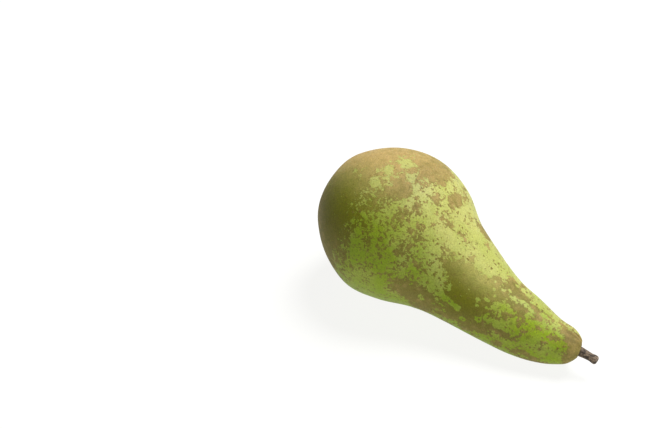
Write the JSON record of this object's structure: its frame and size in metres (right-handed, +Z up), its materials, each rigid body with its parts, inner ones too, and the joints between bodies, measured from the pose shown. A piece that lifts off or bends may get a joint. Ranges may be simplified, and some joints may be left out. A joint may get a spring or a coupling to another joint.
{
  "type": "pear",
  "caption": "A whole long-necked green pear with brown russet, lying on its side, with a short woody stem and a dried calyx, for food, kitchen and still-life scenes.",
  "frame": {"origin": "on the surface that the pear lies on, in the middle of the small flat spot under its widest part", "axes": "+X along the pear towards its stem, +Z up, +Y across it"},
  "size_m": [0.1274, 0.0631, 0.0616],
  "materials": {
    "pear_skin": "yellow-green skin, faintly waxy, with dull tan-brown russet patches and fine brown dots",
    "stem_bark": "dry grey-brown bark, dull and knobbly",
    "dried_calyx": "dried, brittle, near-black brown"
  },
  "bodies": {
    "root": {"fruit": "pear_skin", "stem": "stem_bark", "calyx": "dried_calyx"}
  },
  "joints": []
}
